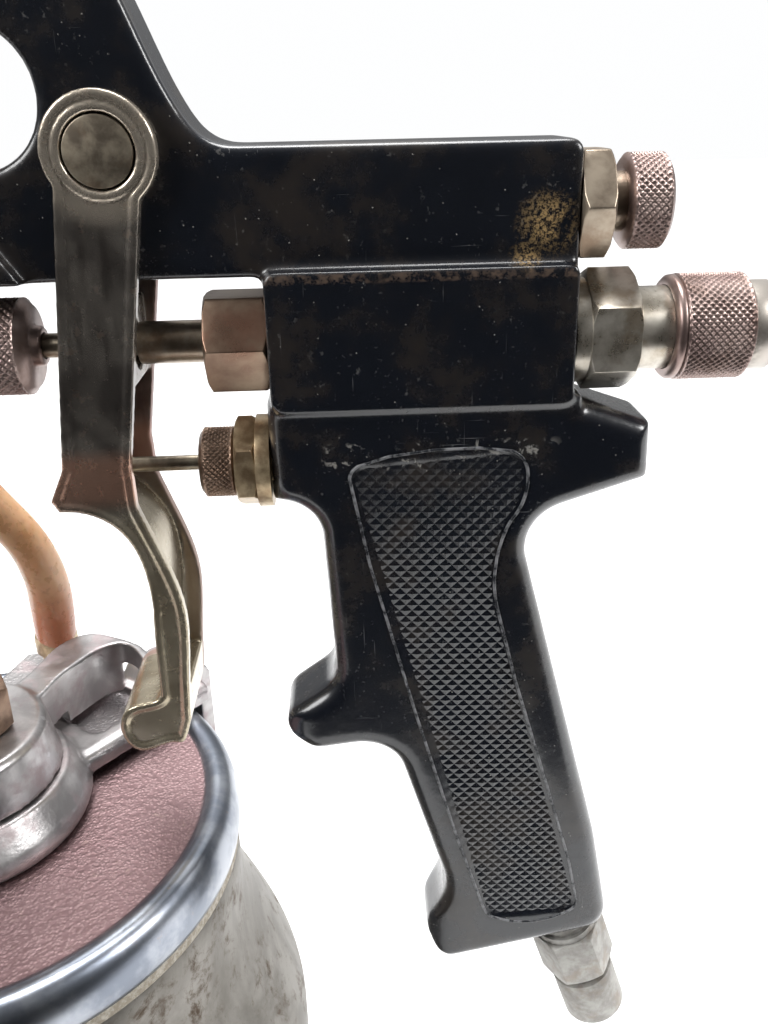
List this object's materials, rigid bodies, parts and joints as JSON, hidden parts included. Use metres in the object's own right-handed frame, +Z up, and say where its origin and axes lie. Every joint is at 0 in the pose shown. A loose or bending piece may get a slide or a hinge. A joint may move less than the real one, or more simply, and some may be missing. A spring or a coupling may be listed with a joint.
{
  "type": "siphon-feed paint spray gun",
  "caption": "Siphon-feed paint spray gun with pistol grip, lever trigger, fluid and fan knobs, and a metal cup closed by a lid, yoke and cam lever.",
  "frame": {"origin": "centre of the flat base of the cup, on the cup's axis", "axes": "+Z up along the cup's axis, -X the way the nozzle sprays, +X towards the grip and knobs, +Y the far side with the pressure hose"},
  "size_m": [0.2052, 0.1244, 0.2635],
  "materials": {
    "black_paint": "gloss black paint with dust and scratches",
    "trigger_nickel": "worn nickel plate over a casting",
    "nickel_fitting": "warm worn nickel plate",
    "knob_nickel": "pinkish nickel knurl",
    "brass": "aged brass",
    "steel": "ground steel",
    "spring_steel": "drawn wire",
    "cup_aluminium": "dull spun aluminium with brown stains",
    "lid_aluminium": "pebbled pink-stained disc, polished rim",
    "cast_aluminium": "cast aluminium with pink stain",
    "zinc": "dull whitish zinc",
    "gasket": "cream cork-rubber",
    "hose_vinyl": "aged translucent vinyl",
    "packing": "white packing"
  },
  "bodies": {
    "gun": {"air_baffle": "brass", "air_inlet": "zinc", "air_valve_body": "brass", "air_valve_nut": "knob_nickel", "air_valve_spring": "spring_steel", "cup": "cup_aluminium", "cup_lid": "lid_aluminium", "cup_pins": "steel", "cup_yoke": "cast_aluminium", "fan_bushing": "nickel_fitting", "fluid_inlet_stem": "nickel_fitting", "fluid_nozzle": "steel", "gun_body": "black_paint", "head_coupling_nut": "nickel_fitting", "head_nipple": "brass", "lid_barb": "brass", "lid_gasket": "gasket", "needle_guide_nut": "nickel_fitting", "needle_packing": "packing", "needle_spring": "spring_steel", "packing_nut": "knob_nickel", "pickup_strainer": "packing", "pickup_tube": "steel", "pressure_hose": "hose_vinyl", "rear_bushing": "nickel_fitting", "stem_lock_nut": "brass", "trigger_nut": "steel", "trigger_screw": "steel"},
    "trigger": {"trigger": "trigger_nickel"},
    "needle": {"fluid_needle": "steel", "needle_sleeve": "nickel_fitting"},
    "air_valve": {"air_valve_stem": "steel", "air_valve_poppet": "brass"},
    "fluid_knob": {"fluid_knob": "knob_nickel"},
    "fan_valve": {"fan_stem": "nickel_fitting", "fan_knob": "knob_nickel"},
    "air_cap": {"air_cap": "nickel_fitting"},
    "retaining_ring": {"retaining_ring": "nickel_fitting"},
    "cam_lever": {"cam_lever": "cast_aluminium"}
  },
  "joints": [
    {"name": "trigger_pull", "type": "hinge", "parent": "gun", "child": "trigger", "pos_m": [0.0433, 0, 0.2349], "axis": [0, -1, 0], "range_deg": [0, 9], "stiffness_Nm_per_rad": 1.5, "springref_deg": -5.73},
    {"name": "needle_travel", "type": "slide", "parent": "gun", "child": "needle", "axis": [1, 0, 0], "range_m": [0, 0.0052], "deforming": ["needle_spring"]},
    {"name": "air_valve_travel", "type": "slide", "parent": "gun", "child": "air_valve", "axis": [1, 0, 0], "range_m": [0, 0.0081], "deforming": ["air_valve_spring"]},
    {"name": "fluid_knob_turn", "type": "hinge", "parent": "gun", "child": "fluid_knob", "pos_m": [0.135, 0, 0.2065], "axis": [1, 0, 0], "continuous": true},
    {"name": "fan_knob_turn", "type": "hinge", "parent": "gun", "child": "fan_valve", "pos_m": [0.119, 0, 0.2258], "axis": [1, 0, 0], "continuous": true},
    {"name": "air_cap_turn", "type": "hinge", "parent": "gun", "child": "air_cap", "pos_m": [-0.03, 0, 0.2065], "axis": [1, 0, 0], "range_deg": [-90, 90]},
    {"name": "retaining_ring_turn", "type": "hinge", "parent": "gun", "child": "retaining_ring", "pos_m": [-0.024, 0, 0.2065], "axis": [1, 0, 0], "continuous": true},
    {"name": "cam_lever_turn", "type": "hinge", "parent": "gun", "child": "cam_lever", "pos_m": [0, 0, 0.13], "axis": [0, 0, 1], "range_deg": [-75, 0]}
  ],
  "couplings": [
    {"joint": "needle_travel", "follows": "trigger_pull", "m_per_rad": 0.0325},
    {"joint": "air_valve_travel", "follows": "trigger_pull", "m_per_rad": 0.0505}
  ]
}
